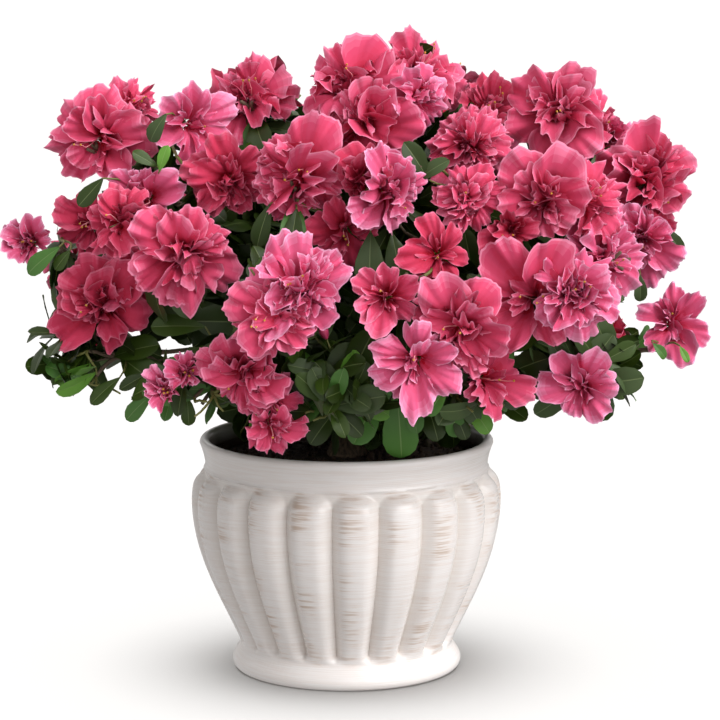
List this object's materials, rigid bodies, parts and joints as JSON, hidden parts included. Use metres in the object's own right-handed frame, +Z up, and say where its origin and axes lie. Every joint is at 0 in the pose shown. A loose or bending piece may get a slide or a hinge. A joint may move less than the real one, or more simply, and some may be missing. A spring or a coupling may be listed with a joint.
{
  "type": "azalea shrub in a pot",
  "caption": "Low, wide azalea shrub in full double bloom, its short stem and boughs in a ribbed round ceramic pot.",
  "frame": {"origin": "centre of the pot's flat underside", "axes": "+Z up; the plant's fullest side faces -Y, and +X is to its right as seen from there"},
  "size_m": [0.4252, 0.3897, 0.3844],
  "materials": {
    "pot_glaze": "satin cream glaze, brushed with thin tan wear",
    "potting_mix": "damp loose peat",
    "bark": "rough grey-brown bark",
    "foliage": "leathery, slightly glossy leaves",
    "blossom": "thin matt petals"
  },
  "bodies": {
    "root": {"bough_crown_tip": "bark", "bough_left_tip": "bark", "bough_lower_back_left": "bark", "bough_lower_front_right": "bark", "bough_lower_left": "bark", "bough_middle_front_left": "bark", "bough_middle_front_right": "bark", "bough_middle_left_back": "bark", "bough_middle_right_back": "bark", "bough_right_shoulder": "bark", "bough_right_tip": "bark", "bough_upper_back_right": "bark", "bough_upper_front": "bark", "bough_upper_left": "bark", "foliage_crown_tip": "blossom", "foliage_left_back": "blossom", "foliage_left_front": "blossom", "foliage_left_shoulder": "blossom", "foliage_left_tip": "blossom", "foliage_lower_back_left": "foliage", "foliage_lower_back_right": "foliage", "foliage_lower_front": "foliage", "foliage_lower_front_left": "blossom", "foliage_lower_front_right": "blossom", "foliage_lower_left": "blossom", "foliage_lower_left_back": "foliage", "foliage_lower_right_back": "blossom", "foliage_lower_right_front": "blossom", "foliage_middle_back": "blossom", "foliage_middle_front": "blossom", "foliage_middle_front_left": "blossom", "foliage_middle_front_right": "blossom", "foliage_middle_left_back": "blossom", "foliage_middle_right_back": "blossom", "foliage_right_front": "blossom", "foliage_right_shoulder": "blossom", "foliage_right_side": "blossom", "foliage_right_tip": "blossom", "foliage_top_back_left": "blossom", "foliage_top_back_right": "blossom", "foliage_top_left": "blossom", "foliage_top_right": "blossom", "foliage_upper_back_left": "blossom", "foliage_upper_back_right": "blossom", "foliage_upper_front": "blossom", "foliage_upper_front_left": "blossom", "foliage_upper_front_right": "blossom", "foliage_upper_left": "blossom", "foliage_upper_left_back": "blossom", "foliage_upper_right_back": "blossom", "pot": "pot_glaze", "potting_mix": "potting_mix", "stem": "bark"}
  },
  "joints": []
}
